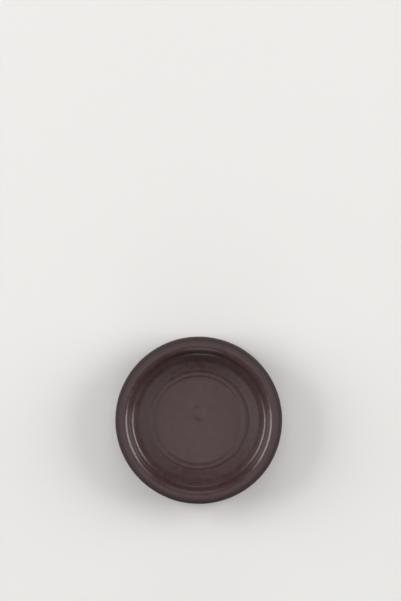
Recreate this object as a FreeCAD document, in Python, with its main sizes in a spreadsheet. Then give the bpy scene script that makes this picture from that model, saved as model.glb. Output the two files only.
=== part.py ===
import FreeCAD, Part
import Sketcher
import math
import os

# Castor cup: one moulded piece of brown rubber.
# A round cup that stands on the floor and takes a furniture leg or castor in its recess.
# Millimetres. +Z up, axis of the cup on Z, underside on z = 0.

doc = FreeCAD.newDocument("castor_cup")

# ---------------------------------------------------------------- driving dimensions
sheet = doc.addObject("Spreadsheet::Sheet", "Dimensions")
ROWS = [
    ("base_diameter", 39.7, "outside diameter at the base, the nominal size"),
    ("base_land", 1.1, "height of the upright band at the base"),
    ("cup_height", 9.0, "underside to the crest of the rim"),
    ("rim_crest_radius", 18.0, "axis to the crest of the rim"),
    ("rim_crown", 5.0, "radius of the low crown of the rim"),
    ("rim_inner_radius", 16.5, "axis to the inner side of the rim"),
    ("rim_outer_radius", 19.75, "axis to the outer side of the rim"),
    ("rim_round", 1.4, "radius of the two edges of the rim"),
    ("wall_foot_radius", 16.1, "axis to the foot of the inner wall, before its fillet"),
    ("seat_height", 3.0, "underside to the flat middle of the seat"),
    ("ring_floor_start", 12.05, "axis to where the outer ring of the seat starts to climb"),
    ("ring_floor_rise", 0.233, "how far that ring climbs to the cove"),
    ("cove_radius", 14.25, "axis to the cove, where the climb gets steeper"),
    ("cove_rise", 0.56, "how far the cove climbs to the foot of the inner wall"),
    ("cove_round", 4.0, "fillet between the outer ring and the cove"),
    ("foot_round", 1.0, "fillet between the cove and the inner wall"),
    ("base_edge_round", 0.45, "fillet on the outer edge of the underside"),
    ("bead_radius", 11.14, "axis to the crest of the raised ring on the seat"),
    ("bead_width", 1.82, "width of the raised ring at its feet"),
    ("bead_rise", 0.1, "height of the raised ring"),
    ("tread_first", 5.2, "axis to the first groove of the underside"),
    ("tread_pitch", 3.6, "step from one groove to the next"),
    ("tread_width", 0.9, "width of a groove at its mouth"),
    ("tread_floor", 0.4, "width of a groove at its bottom"),
    ("tread_depth", 0.5, "depth of a groove"),
    ("gate_x", 0.0, "gate mark, sideways from the axis"),
    ("gate_y", 1.74, "gate mark, forward from the axis"),
    ("gate_length", 4.1, "gate mark, length at the seat"),
    ("gate_width", 2.9, "gate mark, width at the seat"),
    ("gate_depth", 0.07, "gate mark, seat to its flat bottom"),
    ("gate_bow", 0.23, "upright half-axis of the ellipsoid that hollows the gate mark"),
    ("gate_lift", 0.122, "height of that ellipsoid's centre above the seat"),
    ("lap", 0.4, "how far the raised ring reaches into the seat under it"),
]
size = {}
for row, (alias, value, note) in enumerate(ROWS, start=1):
    sheet.set("A%d" % row, note)
    sheet.set("B%d" % row, str(value))
    sheet.setAlias("B%d" % row, alias)
    size[alias] = value
doc.recompute()

TREAD_GROOVES = 4

body = doc.addObject("PartDesign::Body", "castor_cup")
body.Label = "castor_cup"


def origin_plane(role):
    for feature in body.Origin.OriginFeatures:
        if feature.Role == role:
            return feature
    raise RuntimeError("no origin plane " + role)


def new_sketch(name, role):
    sketch = body.newObject("Sketcher::SketchObject", name)
    sketch.AttachmentSupport = [(origin_plane(role), "")]
    sketch.MapMode = "FlatFace"
    return sketch


def vec(x, y):
    return FreeCAD.Vector(x, y, 0)


def bind(sketch, name, expression, *constraint):
    """One driving dimension of a sketch, tied to the sheet."""
    index = sketch.addConstraint(Sketcher.Constraint(*constraint))
    sketch.renameConstraint(index, name)
    sketch.setExpression("Constraints." + name, expression)


def place(sketch, name, geo, pos, x, y):
    """Ties a point to the axis and to the underside. x and y are (value, expression)."""
    bind(sketch, name + "_r", x[1], "DistanceX", -1, 1, geo, pos, x[0])
    bind(sketch, name + "_z", y[1], "DistanceY", -1, 1, geo, pos, y[0])


def join(sketch, geo_a, geo_b):
    sketch.addConstraint(Sketcher.Constraint("Coincident", geo_a, 2, geo_b, 1))


def tangent_point(px, py, cx, cy, radius, side):
    """Where a line from (px, py) touches a circle. side is -1 for its outer touch, 1 for its inner one."""
    reach = math.hypot(cx - px, cy - py)
    way = math.atan2(cy - py, cx - px) + side * math.asin(radius / reach)
    run = math.sqrt(reach * reach - radius * radius)
    return px + run * math.cos(way), py + run * math.sin(way)


def settled(*objects):
    doc.recompute()
    for o in objects:
        if "Invalid" in o.State or "Error" in o.State:
            raise RuntimeError("%s did not recompute: %s" % (o.Name, o.State))


def volume():
    return body.Shape.Volume


def turned(kind, name, sketch):
    """A full turn of a section about the axis of the cup."""
    before = volume() if body.Tip and not body.Shape.isNull() else 0.0
    feature = body.newObject("PartDesign::" + kind, name)
    feature.Profile = sketch
    feature.ReferenceAxis = (sketch, ["V_Axis"])
    feature.Angle = 360.0
    settled(sketch, feature)
    change = volume() - before
    print("%-16s %+.3f mm3" % (name, change))
    if (kind == "Groove") == (change > -1e-6):
        raise RuntimeError(name + " changed nothing")
    return feature


def ring_edge(shape, radius, height):
    """The name of the circular edge at this radius and height."""
    for number, edge in enumerate(shape.Edges, start=1):
        curve = edge.Curve
        if (
            isinstance(curve, Part.Circle)
            and abs(curve.Radius - radius) < 0.02
            and abs(curve.Center.z - height) < 0.02
        ):
            return "Edge%d" % number
    raise RuntimeError("no edge at r=%.2f z=%.2f" % (radius, height))


# ---------------------------------------------------------------- the turned section
# Underside, upright band at the base, outer wall, crowned rim with rounded edges, drafted inner wall, cove, dished outer ring of the seat, flat middle of the seat.
base_r, land_z = size["base_diameter"] / 2, size["base_land"]
crown, rim_round = size["rim_crown"], size["rim_round"]
crown_r, crown_z = size["rim_crest_radius"], size["cup_height"] - crown
start_r, seat_z = size["ring_floor_start"], size["seat_height"]
cove_r, cove_z = size["cove_radius"], seat_z + size["ring_floor_rise"]
foot_r, foot_z = size["wall_foot_radius"], cove_z + size["cove_rise"]


def edge_height(r):
    """Height of the centre of a rim edge at radius r, whose round touches the crown from inside."""
    return crown_z + math.sqrt((crown - rim_round) ** 2 - (r - crown_r) ** 2)


outer_r = size["rim_outer_radius"] - rim_round
inner_r = size["rim_inner_radius"] + rim_round
outer_z, inner_z = edge_height(outer_r), edge_height(inner_r)
out_x, out_y = tangent_point(base_r, land_z, outer_r, outer_z, rim_round, -1)
in_x, in_y = tangent_point(foot_r, foot_z, inner_r, inner_z, rim_round, 1)
outer_lean = math.atan2(outer_z - crown_z, outer_r - crown_r)
inner_lean = math.atan2(inner_z - crown_z, inner_r - crown_r)

section = new_sketch("section", "XZ_Plane")


def add_line(ax, ay, bx, by):
    return section.addGeometry(Part.LineSegment(vec(ax, ay), vec(bx, by)))


def add_arc(cx, cy, radius, start, end):
    circle = Part.Circle(vec(cx, cy), FreeCAD.Vector(0, 0, 1), radius)
    return section.addGeometry(Part.ArcOfCircle(circle, start, end))


underside = add_line(0, 0, base_r, 0)
band = add_line(base_r, 0, base_r, land_z)
outer_wall = add_line(base_r, land_z, out_x, out_y)
outer_edge = add_arc(
    outer_r, outer_z, rim_round, math.atan2(out_y - outer_z, out_x - outer_r), outer_lean
)
rim_top = add_arc(crown_r, crown_z, crown, outer_lean, inner_lean)
inner_edge = add_arc(
    inner_r,
    inner_z,
    rim_round,
    inner_lean,
    math.atan2(in_y - inner_z, in_x - inner_r) % (2 * math.pi),
)
inner_wall = add_line(in_x, in_y, foot_r, foot_z)
cove = add_line(foot_r, foot_z, cove_r, cove_z)
outer_ring = add_line(cove_r, cove_z, start_r, seat_z)
seat = add_line(start_r, seat_z, 0, seat_z)
axis = add_line(0, seat_z, 0, 0)

section.addConstraint(Sketcher.Constraint("Coincident", underside, 1, -1, 1))
section.addConstraint(Sketcher.Constraint("Horizontal", underside))
section.addConstraint(Sketcher.Constraint("Vertical", band))
section.addConstraint(Sketcher.Constraint("Horizontal", seat))
section.addConstraint(Sketcher.Constraint("Vertical", axis))
join(section, underside, band)
join(section, band, outer_wall)
for a, b in (
    (outer_wall, outer_edge),
    (outer_edge, rim_top),
    (rim_top, inner_edge),
    (inner_edge, inner_wall),
):
    section.addConstraint(Sketcher.Constraint("Tangent", a, 2, b, 1))
join(section, inner_wall, cove)
join(section, cove, outer_ring)
join(section, outer_ring, seat)
join(section, seat, axis)
join(section, axis, underside)
bind(section, "base_r", "Dimensions.base_diameter / 2", "DistanceX", -1, 1, underside, 2, base_r)
bind(section, "land", "Dimensions.base_land", "DistanceY", -1, 1, band, 2, land_z)
place(
    section,
    "crown_centre",
    rim_top,
    3,
    (crown_r, "Dimensions.rim_crest_radius"),
    (crown_z, "Dimensions.cup_height - Dimensions.rim_crown"),
)
bind(section, "crown", "Dimensions.rim_crown", "Radius", rim_top, crown)
bind(section, "outer_round", "Dimensions.rim_round", "Radius", outer_edge, rim_round)
bind(section, "inner_round", "Dimensions.rim_round", "Radius", inner_edge, rim_round)
bind(
    section,
    "outer_edge_r",
    "Dimensions.rim_outer_radius - Dimensions.rim_round",
    "DistanceX",
    -1,
    1,
    outer_edge,
    3,
    outer_r,
)
bind(
    section,
    "inner_edge_r",
    "Dimensions.rim_inner_radius + Dimensions.rim_round",
    "DistanceX",
    -1,
    1,
    inner_edge,
    3,
    inner_r,
)
place(
    section,
    "foot",
    inner_wall,
    2,
    (foot_r, "Dimensions.wall_foot_radius"),
    (foot_z, "Dimensions.seat_height + Dimensions.ring_floor_rise + Dimensions.cove_rise"),
)
place(
    section,
    "cove",
    cove,
    2,
    (cove_r, "Dimensions.cove_radius"),
    (cove_z, "Dimensions.seat_height + Dimensions.ring_floor_rise"),
)
place(
    section,
    "start",
    outer_ring,
    2,
    (start_r, "Dimensions.ring_floor_start"),
    (seat_z, "Dimensions.seat_height"),
)
cup = turned("Revolution", "turned_cup", section)

# ---------------------------------------------------------------- rounded edges
cove_fillet = body.newObject("PartDesign::Fillet", "cove_fillet")
cove_fillet.Base = (cup, [ring_edge(cup.Shape, cove_r, cove_z)])
cove_fillet.setExpression("Radius", "Dimensions.cove_round")
settled(cove_fillet)

foot_fillet = body.newObject("PartDesign::Fillet", "foot_fillet")
foot_fillet.Base = (cove_fillet, [ring_edge(cove_fillet.Shape, foot_r, foot_z)])
foot_fillet.setExpression("Radius", "Dimensions.foot_round")
settled(foot_fillet)

base_fillet = body.newObject("PartDesign::Fillet", "base_fillet")
base_fillet.Base = (foot_fillet, [ring_edge(foot_fillet.Shape, base_r, 0.0)])
base_fillet.setExpression("Radius", "Dimensions.base_edge_round")
settled(base_fillet)


# ---------------------------------------------------------------- raised ring of the seat
# A low arch across the seat, closed a little below the face.
bead_r, bead_rise = size["bead_radius"], size["bead_rise"]
bead_half = size["bead_width"] / 2
bead_back = seat_z - size["lap"]
bow = (bead_half**2 + bead_rise**2) / (2 * bead_rise)
sweep = math.atan2(bead_half, bow - bead_rise)
bead_section = new_sketch("bead_section", "XZ_Plane")
bead_section.addGeometry(
    Part.ArcOfCircle(
        Part.Circle(vec(bead_r, seat_z + bead_rise - bow), FreeCAD.Vector(0, 0, 1), bow),
        math.pi / 2 - sweep,
        math.pi / 2 + sweep,
    )
)
corners = [
    (bead_r - bead_half, seat_z),
    (bead_r - bead_half, bead_back),
    (bead_r + bead_half, bead_back),
    (bead_r + bead_half, seat_z),
]
for a, b in zip(corners, corners[1:]):
    bead_section.addGeometry(Part.LineSegment(vec(*a), vec(*b)))
for k in range(4):
    join(bead_section, k, (k + 1) % 4)
bead_section.addConstraint(Sketcher.Constraint("Vertical", 1))
bead_section.addConstraint(Sketcher.Constraint("Horizontal", 2))
bead_section.addConstraint(Sketcher.Constraint("Vertical", 3))
for name, sign, geo, pos in (("inner", "-", 1, 1), ("outer", "+", 3, 2)):
    place(
        bead_section,
        name,
        geo,
        pos,
        (
            bead_r + (bead_half if sign == "+" else -bead_half),
            "Dimensions.bead_radius %s Dimensions.bead_width / 2" % sign,
        ),
        (seat_z, "Dimensions.seat_height"),
    )
bind(
    bead_section,
    "back",
    "Dimensions.seat_height - Dimensions.lap",
    "DistanceY",
    -1,
    1,
    2,
    1,
    bead_back,
)
bind(
    bead_section,
    "bow",
    "(Dimensions.bead_width ^ 2 / 4 + Dimensions.bead_rise ^ 2) / (2 * Dimensions.bead_rise)",
    "Radius",
    0,
    bow,
)
bead = turned("Revolution", "seat_bead", bead_section)

# ---------------------------------------------------------------- grooves of the underside
tread = new_sketch("tread_section", "XZ_Plane")
for turn in range(TREAD_GROOVES):
    middle = size["tread_first"] + turn * size["tread_pitch"]
    middle_text = "Dimensions.tread_first + %d * Dimensions.tread_pitch" % turn
    mouth, floor_half = size["tread_width"] / 2, size["tread_floor"] / 2
    corners = [
        (middle - mouth, 0.0, "-", "tread_width", None),
        (middle + mouth, 0.0, "+", "tread_width", None),
        (middle + floor_half, size["tread_depth"], "+", "tread_floor", "tread_depth"),
        (middle - floor_half, size["tread_depth"], "-", "tread_floor", "tread_depth"),
    ]
    first = turn * 4
    for k in range(4):
        a, b = corners[k], corners[(k + 1) % 4]
        tread.addGeometry(Part.LineSegment(vec(a[0], a[1]), vec(b[0], b[1])))
    for k in range(4):
        tread.addConstraint(
            Sketcher.Constraint("Coincident", first + k, 2, first + (k + 1) % 4, 1)
        )
    for k, (x, z, sign, wide, deep) in enumerate(corners):
        bind(
            tread,
            "groove%d_r%d" % (turn + 1, k + 1),
            "%s %s Dimensions.%s / 2" % (middle_text, sign, wide),
            "DistanceX",
            -1,
            1,
            first + k,
            1,
            x,
        )
        if deep:
            bind(
                tread,
                "groove%d_z%d" % (turn + 1, k + 1),
                "Dimensions." + deep,
                "DistanceY",
                -1,
                1,
                first + k,
                1,
                z,
            )
        else:
            tread.addConstraint(Sketcher.Constraint("PointOnObject", first + k, 1, -1))
tread_grooves = turned("Groove", "tread_grooves", tread)

# ---------------------------------------------------------------- gate mark on the seat
# A shallow oval recess: an ellipsoid that dips into the seat, cut off flat at the bottom.
before_gate = volume()
narrowing = "sqrt(1 - (Dimensions.gate_lift / Dimensions.gate_bow) ^ 2)"
gate_mark = body.newObject("PartDesign::SubtractiveEllipsoid", "gate_mark")
gate_mark.AttachmentSupport = [(origin_plane("XY_Plane"), "")]
gate_mark.MapMode = "FlatFace"
gate_mark.setExpression("AttachmentOffset.Base.x", "Dimensions.gate_x")
gate_mark.setExpression("AttachmentOffset.Base.y", "Dimensions.gate_y")
gate_mark.setExpression(
    "AttachmentOffset.Base.z", "Dimensions.seat_height + Dimensions.gate_lift"
)
gate_mark.setExpression("Radius1", "Dimensions.gate_bow")
gate_mark.setExpression("Radius2", "Dimensions.gate_width / 2 / " + narrowing)
gate_mark.setExpression("Radius3", "Dimensions.gate_length / 2 / " + narrowing)
gate_mark.setExpression(
    "Angle1", "-asin((Dimensions.gate_lift + Dimensions.gate_depth) / Dimensions.gate_bow)"
)
settled(gate_mark)
gate_cut = before_gate - volume()
print("%-16s %+.3f mm3" % ("gate_mark", -gate_cut))
gate_bow, gate_lift, gate_depth = size["gate_bow"], size["gate_lift"], size["gate_depth"]
spread = size["gate_length"] * size["gate_width"] / 4 / (1 - (gate_lift / gate_bow) ** 2)
slope = ((gate_lift + gate_depth) ** 3 - gate_lift**3) / (3 * gate_bow**2)
wanted_cut = math.pi * spread * (gate_depth - slope)
if abs(gate_cut - wanted_cut) > 0.03 * wanted_cut:
    raise RuntimeError("the gate mark is not hollowed into the seat: %.4f" % wanted_cut)

# ---------------------------------------------------------------- checks and files
doc.recompute()
for o in doc.Objects:
    if "Invalid" in o.State or "Error" in o.State:
        raise RuntimeError("%s failed: %s" % (o.Name, o.State))
for sketch in (section, bead_section, tread):
    if sketch.solve() != 0:
        raise RuntimeError(sketch.Name + " is not solved")
    print("%-16s fully constrained: %s" % (sketch.Name, sketch.FullyConstrained))

os.makedirs("parts", exist_ok=True)
for part in (body,):
    shape = part.Shape
    if shape.isNull() or not shape.isValid() or len(shape.Solids) != 1:
        raise RuntimeError(part.Label + " is not one valid solid")
    box = shape.optimalBoundingBox()
    print(
        "%s: %.1f mm3, x %.3f..%.3f y %.3f..%.3f z %.3f..%.3f"
        % (
            part.Label,
            shape.Volume,
            box.XMin,
            box.XMax,
            box.YMin,
            box.YMax,
            box.ZMin,
            box.ZMax,
        )
    )
    shape.exportStep("parts/%s.step" % part.Label)
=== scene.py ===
import bpy
import math
import numpy as np
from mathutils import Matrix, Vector


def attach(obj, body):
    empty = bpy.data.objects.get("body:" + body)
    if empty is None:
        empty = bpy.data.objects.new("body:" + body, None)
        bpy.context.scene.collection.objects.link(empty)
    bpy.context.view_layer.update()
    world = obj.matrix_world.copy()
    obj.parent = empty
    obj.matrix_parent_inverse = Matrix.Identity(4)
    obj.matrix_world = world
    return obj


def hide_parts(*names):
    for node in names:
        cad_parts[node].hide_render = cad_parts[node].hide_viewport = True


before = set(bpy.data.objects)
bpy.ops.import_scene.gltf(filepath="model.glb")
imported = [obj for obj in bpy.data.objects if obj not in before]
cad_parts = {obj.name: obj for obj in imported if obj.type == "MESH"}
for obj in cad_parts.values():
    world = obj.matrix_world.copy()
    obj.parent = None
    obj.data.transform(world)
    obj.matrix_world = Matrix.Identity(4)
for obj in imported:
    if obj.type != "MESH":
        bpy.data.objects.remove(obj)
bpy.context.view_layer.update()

MM = 0.001

# ---------------------------------------------------------------- sizes of the cup, in millimetres
BASE_R = 19.85
BASE_LAND = 1.1
HEIGHT = 9.0
RIM_R, RIM_CROWN = 18.0, 5.0
RIM_IN, RIM_OUT, RIM_ROUND = 16.5, 19.75, 1.4
SEAT_Z = 3.0
RING_START, RING_RISE = 12.05, 0.233
COVE_R, COVE_RISE, COVE_ROUND = 14.25, 0.56, 4.0
FOOT_R, FOOT_ROUND = 16.1, 1.0
BASE_ROUND = 0.45
BEAD_R, BEAD_W, BEAD_H = 11.14, 1.82, 0.1
TREAD_FIRST, TREAD_PITCH, TREAD_N = 5.2, 3.6, 4
TREAD_W, TREAD_FLOOR, TREAD_D = 0.9, 0.4, 0.5
GATE_X, GATE_Y, GATE_L, GATE_W, GATE_D = 0.0, 1.74, 4.1, 2.9, 0.07
GATE_BOW, GATE_LIFT = 0.23, 0.122
TURNS = 180


# ---------------------------------------------------------------- section of the cup
def touch(px, py, cx, cy, radius, side):
    """Where a line from (px, py) touches a circle."""
    reach = math.hypot(cx - px, cy - py)
    way = math.atan2(cy - py, cx - px) + side * math.asin(radius / reach)
    run = math.sqrt(reach * reach - radius * radius)
    return px + run * math.cos(way), py + run * math.sin(way)


def rounded(corners, step):
    """A line through corners (r, z, radius, step or None), each corner rounded by its radius."""
    pts = [np.array(c[:2], float) for c in corners]
    out = [pts[0]]
    for k in range(1, len(pts)):
        goal_step = corners[k][3] if len(corners[k]) > 3 else step
        if k < len(pts) - 1 and corners[k][2] > 0:
            a, b, c = pts[k - 1], pts[k], pts[k + 1]
            u, v = (a - b), (c - b)
            lu, lv = np.linalg.norm(u), np.linalg.norm(v)
            u, v = u / lu, v / lv
            inner = math.acos(max(-1.0, min(1.0, float(u @ v))))
            cut = min(corners[k][2] / math.tan(inner / 2), 0.48 * lu, 0.48 * lv)
            radius = cut * math.tan(inner / 2)
            start, end = b + u * cut, b + v * cut
            way = (u + v) / np.linalg.norm(u + v)
            centre = b + way * (radius / math.sin(inner / 2))
            arc = [start]
            n = max(3, int(math.ceil(math.degrees(math.pi - inner) / 5)))
            a0 = math.atan2(*(start - centre)[::-1])
            a1 = math.atan2(*(end - centre)[::-1])
            turn = (a1 - a0 + math.pi) % (2 * math.pi) - math.pi
            for i in range(1, n + 1):
                ang = a0 + turn * i / n
                arc.append(centre + radius * np.array([math.cos(ang), math.sin(ang)]))
        else:
            arc = [pts[k]]
        run = arc[0] - out[-1]
        n = max(1, int(math.ceil(np.linalg.norm(run) / goal_step)))
        begin = out[-1]
        for i in range(1, n):
            out.append(begin + run * i / n)
        out.extend(arc)
    return out


CLIMB = RING_RISE / (COVE_R - RING_START)


def seat_height(r):
    """The seat's height at radius r: flat middle, low raised ring, gently dished outer ring."""
    r = np.asarray(r, float)
    z = np.where(r > RING_START, SEAT_Z + CLIMB * (r - RING_START), SEAT_Z)
    bow = (BEAD_W**2 / 4 + BEAD_H**2) / (2 * BEAD_H)
    off = np.clip(np.abs(r - BEAD_R), 0, BEAD_W / 2)
    return np.maximum(z, SEAT_Z + np.sqrt(bow**2 - off**2) - (bow - BEAD_H))


def soft_seat(r):
    """seat_height with its corners eased."""
    shifts = np.linspace(-0.26, 0.26, 41)
    weights = np.exp(-((shifts / 0.12) ** 2))
    weights /= weights.sum()
    return sum(w * seat_height(np.abs(r + s)) for s, w in zip(shifts, weights))


# the rim: a low crown that runs into a tighter round on each side
def edge_centre(r):
    """The centre of the edge round at radius r, touching the crown from inside."""
    reach = RIM_CROWN - RIM_ROUND
    return r, HEIGHT - RIM_CROWN + math.sqrt(reach**2 - (r - RIM_R) ** 2)


cove_z = SEAT_Z + RING_RISE
foot_z = cove_z + COVE_RISE
in_c = edge_centre(RIM_IN + RIM_ROUND)
out_c = edge_centre(RIM_OUT - RIM_ROUND)
in_r, in_z = touch(FOOT_R, foot_z, *in_c, RIM_ROUND, 1)
out_r, out_z = touch(BASE_R, BASE_LAND, *out_c, RIM_ROUND, -1)

seat_end = 13.6
seat_r = np.concatenate(
    [
        np.arange(1, 53) * 0.08,
        np.arange(4.4, 9.4, 0.25),
        np.arange(9.4, 12.3, 0.065),
        np.arange(12.3, seat_end, 0.2),
    ]
)
section = [np.array([r, z]) for r, z in zip(seat_r, soft_seat(seat_r))]
seat_rings = len(section)
section += rounded(
    [
        (seat_end, SEAT_Z + CLIMB * (seat_end - RING_START), 0),
        (COVE_R, cove_z, COVE_ROUND, 0.2),
        (FOOT_R, foot_z, FOOT_ROUND, 0.2),
        (in_r, in_z, 0, 0.5),
    ],
    0.3,
)
crown_c = (RIM_R, HEIGHT - RIM_CROWN)
lean_in = math.atan2(in_c[1] - crown_c[1], in_c[0] - crown_c[0])
lean_out = math.atan2(out_c[1] - crown_c[1], out_c[0] - crown_c[0])
for mid, radius, a0, a1, n in (
    (in_c, RIM_ROUND, math.atan2(in_z - in_c[1], in_r - in_c[0]), lean_in, 18),
    (crown_c, RIM_CROWN, lean_in, lean_out, 10),
    (out_c, RIM_ROUND, lean_out, math.atan2(out_z - out_c[1], out_r - out_c[0]), 18),
):
    for i in range(1, n + 1):
        ang = a0 + (a1 - a0) * i / n
        section.append(np.array([mid[0] + radius * math.cos(ang), mid[1] + radius * math.sin(ang)]))
under = [
    (out_r, out_z, 0),
    (BASE_R + 0.012, BASE_LAND + 0.07, 0.05, 0.55),
    (BASE_R + 0.05, BASE_LAND, 0.03),
    (BASE_R, BASE_LAND - 0.08, 0.05),
    (BASE_R, 0.0, BASE_ROUND, 0.3),
]
for k in reversed(range(TREAD_N)):
    mid = TREAD_FIRST + k * TREAD_PITCH
    under += [
        (mid + TREAD_W / 2, 0.0, 0.1, 0.5),
        (mid + TREAD_FLOOR / 2, TREAD_D, 0.12),
        (mid - TREAD_FLOOR / 2, TREAD_D, 0.12),
        (mid - TREAD_W / 2, 0.0, 0.1),
    ]
under.append((0.12, 0.0, 0, 0.6))
section += rounded(under, 0.4)[1:]
section = np.array(section)


# ---------------------------------------------------------------- mesh
def waves(count, low, high, seed):
    """A smooth random field over the plane, as a sum of waves with lengths low..high in mm."""
    g = np.random.default_rng(seed)
    length = g.uniform(low, high, count)
    way = g.uniform(0, 2 * math.pi, count)
    phase = g.uniform(0, 2 * math.pi, count)
    kx, ky = 2 * math.pi / length * np.cos(way), 2 * math.pi / length * np.sin(way)

    def field(x, y):
        total = np.zeros_like(x)
        for a, b, p in zip(kx, ky, phase):
            total += np.cos(a * x + b * y + p)
        return total / math.sqrt(count / 2)

    return field


def ring_waves(orders, seed):
    g = np.random.default_rng(seed)
    phase = g.uniform(0, 2 * math.pi, len(orders))
    size = g.uniform(0.6, 1.0, len(orders)) / np.sqrt(np.arange(1, len(orders) + 1))

    def field(t):
        return sum(s * np.cos(n * t + p) for n, s, p in zip(orders, size, phase))

    return field


def ease(a, b, x):
    u = np.clip((x - a) / (b - a), 0, 1)
    return u * u * (3 - 2 * u)


theta = np.arange(TURNS) * 2 * math.pi / TURNS
R = np.repeat(section[:, 0:1], TURNS, 1)
Z = np.repeat(section[:, 1:2], TURNS, 1)
T = np.repeat(theta[None, :], len(section), 0)
# a moulded cup is never quite round or level: hundredths of a millimetre
oval = ring_waves([2, 3, 5], 11)
level = ring_waves([2, 3, 4, 7, 11], 12)
up = ease(4.0, 8.5, Z)
R = R + 0.03 * oval(T) * ease(6, 16, R) * (0.35 + 0.65 * up)
Z = Z + 0.035 * level(T) * up
X, Y = R * np.cos(T), R * np.sin(T)

seat_mask = np.zeros_like(Z)
seat_mask[:seat_rings] = 1.0
seat_field = waves(40, 3.5, 9.0, 5)
Z = Z + seat_mask * 0.006 * seat_field(X, Y)

# gate mark: a shallow oval recess with sloping sides, a flat bottom and soft edges
oval_r = np.sqrt(((X - GATE_X) / (GATE_W / 2)) ** 2 + ((Y - GATE_Y) / (GATE_L / 2)) ** 2)


def recess(rho):
    """Depth of the gate mark at rho, 1 on its outline."""
    narrow = 1 - (GATE_LIFT / GATE_BOW) ** 2
    dip = GATE_BOW * np.sqrt(np.clip(1 - rho**2 * narrow, 0, None)) - GATE_LIFT
    return np.clip(dip, 0, GATE_D)


spread = np.linspace(-0.26, 0.26, 27)
share = np.exp(-((spread / 0.13) ** 2))
share /= share.sum()
Z = Z - seat_mask * sum(w * recess(np.abs(oval_r + d)) for d, w in zip(spread, share))

rings = len(section)
mid_oval = math.hypot(GATE_X / (GATE_W / 2), GATE_Y / (GATE_L / 2))
top_z = SEAT_Z + 0.006 * float(seat_field(np.zeros(1), np.zeros(1))[0])
top_z -= float(sum(w * recess(abs(mid_oval + d)) for d, w in zip(spread, share)))
verts = np.concatenate(
    [
        np.stack([X, Y, Z], -1).reshape(-1, 3),
        [[0, 0, top_z], [0, 0, 0]],
    ]
)
faces = []
for i in range(rings - 1):
    a, b = i * TURNS, (i + 1) * TURNS
    for j in range(TURNS):
        k = (j + 1) % TURNS
        faces.append((a + j, b + j, b + k, a + k))
centre, pole = rings * TURNS, rings * TURNS + 1
last = (rings - 1) * TURNS
for j in range(TURNS):
    k = (j + 1) % TURNS
    faces.append((centre, j, k))
    faces.append((pole, last + k, last + j))

mesh = bpy.data.meshes.new("cup_moulding")
mesh.from_pydata((verts * MM).tolist(), [], faces)
mesh.validate()
mesh.polygons.foreach_set("use_smooth", [True] * len(mesh.polygons))
mesh.update()
cup = bpy.data.objects.new("cup_moulding", mesh)
bpy.context.scene.collection.objects.link(cup)


# ---------------------------------------------------------------- brown rubber
class Nodes:
    def __init__(self, material):
        material.use_nodes = True
        self.tree = material.node_tree
        self.tree.nodes.clear()

    def add(self, kind, **settings):
        node = self.tree.nodes.new(kind)
        for key, value in settings.items():
            setattr(node, key, value)
        return node

    def link(self, a, b):
        self.tree.links.new(a, b)

    def noise(self, coords, scale, detail=3.0, rough=0.5, distortion=0.0):
        node = self.add("ShaderNodeTexNoise")
        node.inputs["Scale"].default_value = scale
        node.inputs["Detail"].default_value = detail
        node.inputs["Roughness"].default_value = rough
        node.inputs["Distortion"].default_value = distortion
        self.link(coords, node.inputs["Vector"])
        return node.outputs["Fac"]

    def span(self, value, a, b, c, d):
        node = self.add("ShaderNodeMapRange")
        node.clamp = True
        for k, x in zip(("From Min", "From Max", "To Min", "To Max"), (a, b, c, d)):
            node.inputs[k].default_value = x
        self.link(value, node.inputs["Value"])
        return node.outputs["Result"]

    def math(self, op, a, b=None):
        node = self.add("ShaderNodeMath", operation=op)
        for k, x in enumerate((a, b)):
            if x is None:
                continue
            if isinstance(x, (int, float)):
                node.inputs[k].default_value = x
            else:
                self.link(x, node.inputs[k])
        return node.outputs[0]

    def mix(self, factor, a, b):
        node = self.add("ShaderNodeMix", data_type="RGBA")
        self.link(factor, node.inputs["Factor"])
        for name, x in (("A", a), ("B", b)):
            socket = [s for s in node.inputs if s.name == name and s.type == "RGBA"][0]
            if isinstance(x, tuple):
                socket.default_value = (*x, 1.0)
            else:
                self.link(x, socket)
        return [s for s in node.outputs if s.type == "RGBA"][0]


rubber = bpy.data.materials.new("brown_rubber")
n = Nodes(rubber)
coords = n.add("ShaderNodeTexCoord").outputs["Object"]
out = n.add("ShaderNodeOutputMaterial")
shader = n.add("ShaderNodeBsdfPrincipled")
n.link(shader.outputs["BSDF"], out.inputs["Surface"])

cloud = n.noise(coords, 190.0, 3.0, 0.55, 0.4)
patch = n.noise(coords, 620.0, 4.0, 0.6)
grain = n.noise(coords, 7200.0, 1.0, 0.5)
swell = n.noise(coords, 430.0, 1.0, 0.4)

brown = n.mix(
    n.span(cloud, 0.30, 0.70, 0.0, 1.0), (0.0446, 0.0203, 0.0217), (0.0566, 0.0262, 0.0280)
)
brown = n.mix(n.span(patch, 0.36, 0.72, 0.0, 0.6), brown, (0.071, 0.0395, 0.041))

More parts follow.
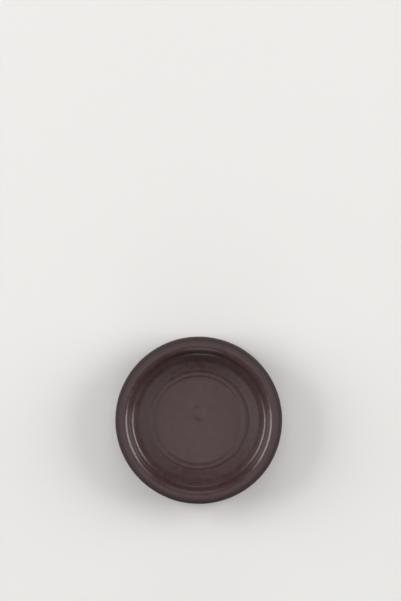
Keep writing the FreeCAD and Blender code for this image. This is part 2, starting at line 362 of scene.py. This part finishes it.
# the outside has the matt finish of a blasted mould, the inside and the rim are smoother. The outside's
# colour is darkened as painted shade, and the rim's a little too.
apart = n.add("ShaderNodeSeparateXYZ")
n.link(coords, apart.inputs[0])
radius = n.math(
    "SQRT",
    n.math(
        "ADD",
        n.math("POWER", apart.outputs["X"], 2.0),
        n.math("POWER", apart.outputs["Y"], 2.0),
    ),
)
wall = n.span(radius, 0.0138, 0.0156, 0.0, 0.75)
greyer = n.mix(
    n.span(cloud, 0.30, 0.70, 0.0, 1.0), (0.0455, 0.0254, 0.0262), (0.0580, 0.0328, 0.0339)
)
brown = n.mix(wall, brown, greyer)
rim = n.span(radius, 0.0161, 0.0172, 0.0, 0.1)
outside = n.span(radius, 0.0181, 0.0191, 0.0, 1.0)
# painted shade: a darker brown, mixed mostly into the outside wall and a tenth of it into the rim
painted_shade_brown = n.mix(n.span(patch, 0.3, 0.75, 0.0, 1.0), (0.0175, 0.0093, 0.0098), (0.027, 0.0146, 0.0153))
brown = n.mix(n.math("MAXIMUM", rim, n.math("MULTIPLY", outside, 0.88)), brown, painted_shade_brown)
n.link(brown, shader.inputs["Base Color"])
rough = n.math(
    "ADD",
    n.span(cloud, 0.3, 0.7, 0.20, 0.26),
    n.span(patch, 0.3, 0.7, -0.03, 0.04),
)
rough = n.math("ADD", rough, n.span(radius, 0.0148, 0.0153, 0.0, 0.06))
rough = n.math("ADD", rough, n.math("MULTIPLY", outside, 0.62))
n.link(rough, shader.inputs["Roughness"])

bump = n.add("ShaderNodeBump")
bump.inputs["Strength"].default_value = 0.35
bump.inputs["Distance"].default_value = 0.00003
n.link(
    n.math("ADD", n.math("MULTIPLY", grain, 0.16), n.math("MULTIPLY", swell, 1.6)),
    bump.inputs["Height"],
)
n.link(bump.outputs["Normal"], shader.inputs["Normal"])

mesh.materials.append(rubber)

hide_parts("castor_cup")
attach(cup, "root")


# ---------------------------------------------------------------- floor
def disc(name, radius, segments):
    m = bpy.data.meshes.new(name)
    pts = [(0, 0, 0)] + [
        (radius * math.cos(2 * math.pi * k / segments), radius * math.sin(2 * math.pi * k / segments), 0)
        for k in range(segments)
    ]
    m.from_pydata(pts, [], [(0, k + 1, (k + 1) % segments + 1) for k in range(segments)])
    m.update()
    o = bpy.data.objects.new(name, m)
    bpy.context.scene.collection.objects.link(o)
    return o


GROUND = (0.80, 0.792, 0.778)
floor = disc("floor", 6.0, 96)
pale = bpy.data.materials.new("pale_floor")
f = Nodes(pale)
floor_coords = f.add("ShaderNodeTexCoord").outputs["Object"]
floor_out = f.add("ShaderNodeOutputMaterial")
floor_shader = f.add("ShaderNodeBsdfPrincipled")
f.link(
    f.mix(f.noise(floor_coords, 3.0, 3.0), (0.62, 0.612, 0.598), (0.65, 0.642, 0.63)),
    floor_shader.inputs["Base Color"],
)
floor_shader.inputs["Roughness"].default_value = 0.8
floor_shader.inputs["Specular IOR Level"].default_value = 0.05
# away from the cup the floor runs into the even pale ground
glow = f.add("ShaderNodeEmission")
glow.inputs["Color"].default_value = (*GROUND, 1.0)
far = f.add("ShaderNodeVectorMath", operation="LENGTH")
f.link(floor_coords, far.inputs[0])
fade = f.add("ShaderNodeMixShader")
f.link(f.span(far.outputs["Value"], 0.13, 0.40, 0.0, 1.0), fade.inputs[0])
f.link(floor_shader.outputs["BSDF"], fade.inputs[1])
f.link(glow.outputs[0], fade.inputs[2])
f.link(fade.outputs[0], floor_out.inputs["Surface"])
floor.location = (0.0, 0.0, -0.00002)
floor.data.materials.append(pale)


# ---------------------------------------------------------------- light
def softbox(name, azimuth, elevation, distance, wide, high, radiance, aim=(0, 0, 0.006), glossy=True):
    """An even panel that faces the cup. Azimuth is from +Y towards +X."""
    az, el = math.radians(azimuth), math.radians(elevation)
    way = Vector((math.sin(az) * math.cos(el), math.cos(az) * math.cos(el), math.sin(el)))
    data = bpy.data.lights.new(name, "AREA")
    data.shape = "RECTANGLE"
    data.size, data.size_y = wide, high
    data.energy = radiance * math.pi * wide * high
    lamp = bpy.data.objects.new(name, data)
    lamp.location = Vector(aim) + way * distance
    lamp.rotation_mode = "QUATERNION"
    lamp.rotation_quaternion = (-way).to_track_quat("-Z", "Y")
    lamp.visible_camera = False
    lamp.visible_glossy = glossy
    bpy.context.scene.collection.objects.link(lamp)
    return lamp


def overhead(name, place, wide, deep, radiance, glossy=True):
    """An even panel that faces straight down."""
    data = bpy.data.lights.new(name, "AREA")
    data.shape = "RECTANGLE"
    data.size, data.size_y = wide, deep
    data.energy = radiance * math.pi * wide * deep
    lamp = bpy.data.objects.new(name, data)
    lamp.location = place
    lamp.visible_camera = False
    lamp.visible_glossy = glossy
    bpy.context.scene.collection.objects.link(lamp)
    return lamp


softbox("side_left", -78, 25.5, 0.8, 0.58, 0.51, 6.9)
softbox("side_right", 78, 25.5, 0.8, 0.56, 0.51, 6.7)
softbox("front", 183, 16, 1.0, 0.30, 0.22, 4.4)
softbox("front_soft", 180, 38, 1.0, 0.40, 0.50, 0.52)
softbox("back", 2, 15, 1.0, 0.60, 0.24, 2.2)
softbox("back_high", 0, 48, 1.0, 0.80, 0.50, 1.35, glossy=False)
overhead("top_strip", (0.0375, -0.065, 1.2), 0.325, 0.23, 1.12)
overhead("top_strip_right", (0.385, -0.065, 1.2), 0.37, 0.23, 0.75)
overhead("top_right", (0.315, 0.195, 1.2), 0.33, 0.25, 0.65)
overhead("low_right", (0.305, -0.275, 1.2), 0.31, 0.17, 0.6)
overhead("low_left", (-0.305, -0.275, 1.2), 0.31, 0.17, 0.5)
overhead("top_strip_left", (-0.3475, -0.065, 1.2), 0.445, 0.23, 1.45)
overhead("top_left", (-0.3125, 0.195, 1.2), 0.375, 0.21, 0.8)

world = bpy.data.worlds.new("studio")
bpy.context.scene.world = world
world.use_nodes = True
wt = world.node_tree
wt.nodes.clear()
w_out = wt.nodes.new("ShaderNodeOutputWorld")
w_path = wt.nodes.new("ShaderNodeLightPath")


def sky(color, strength):
    node = wt.nodes.new("ShaderNodeBackground")
    node.inputs["Color"].default_value = (*color, 1)
    node.inputs["Strength"].default_value = strength
    return node.outputs[0]


def either(test, no, yes):
    node = wt.nodes.new("ShaderNodeMixShader")
    wt.links.new(w_path.outputs[test], node.inputs[0])
    wt.links.new(no, node.inputs[1])
    wt.links.new(yes, node.inputs[2])
    return node.outputs[0]


# an even dim room for the light, almost none of it in the gloss, and a pale ground behind
room = either("Is Glossy Ray", sky((1.0, 0.99, 0.98), 0.30), sky((1.0, 0.99, 0.98), 0.07))
room = either("Is Camera Ray", room, sky(GROUND, 1.0))
wt.links.new(room, w_out.inputs["Surface"])

# ---------------------------------------------------------------- camera
# straight down from 1 m; the frame of 401 x 601 is 143.6 mm high at the floor
camera_data = bpy.data.cameras.new("camera")
camera_data.sensor_width = 36.0
camera_data.lens = 36.0 / 0.1436
camera_data.clip_start, camera_data.clip_end = 0.05, 20.0
camera = bpy.data.objects.new("camera", camera_data)
camera.location = (0.00041, 0.0285, 1.0)
bpy.context.scene.collection.objects.link(camera)
bpy.context.scene.camera = camera
bpy.context.scene.view_settings.view_transform = "Standard"
bpy.context.scene.view_settings.look = "None"

bpy.context.view_layer.update()
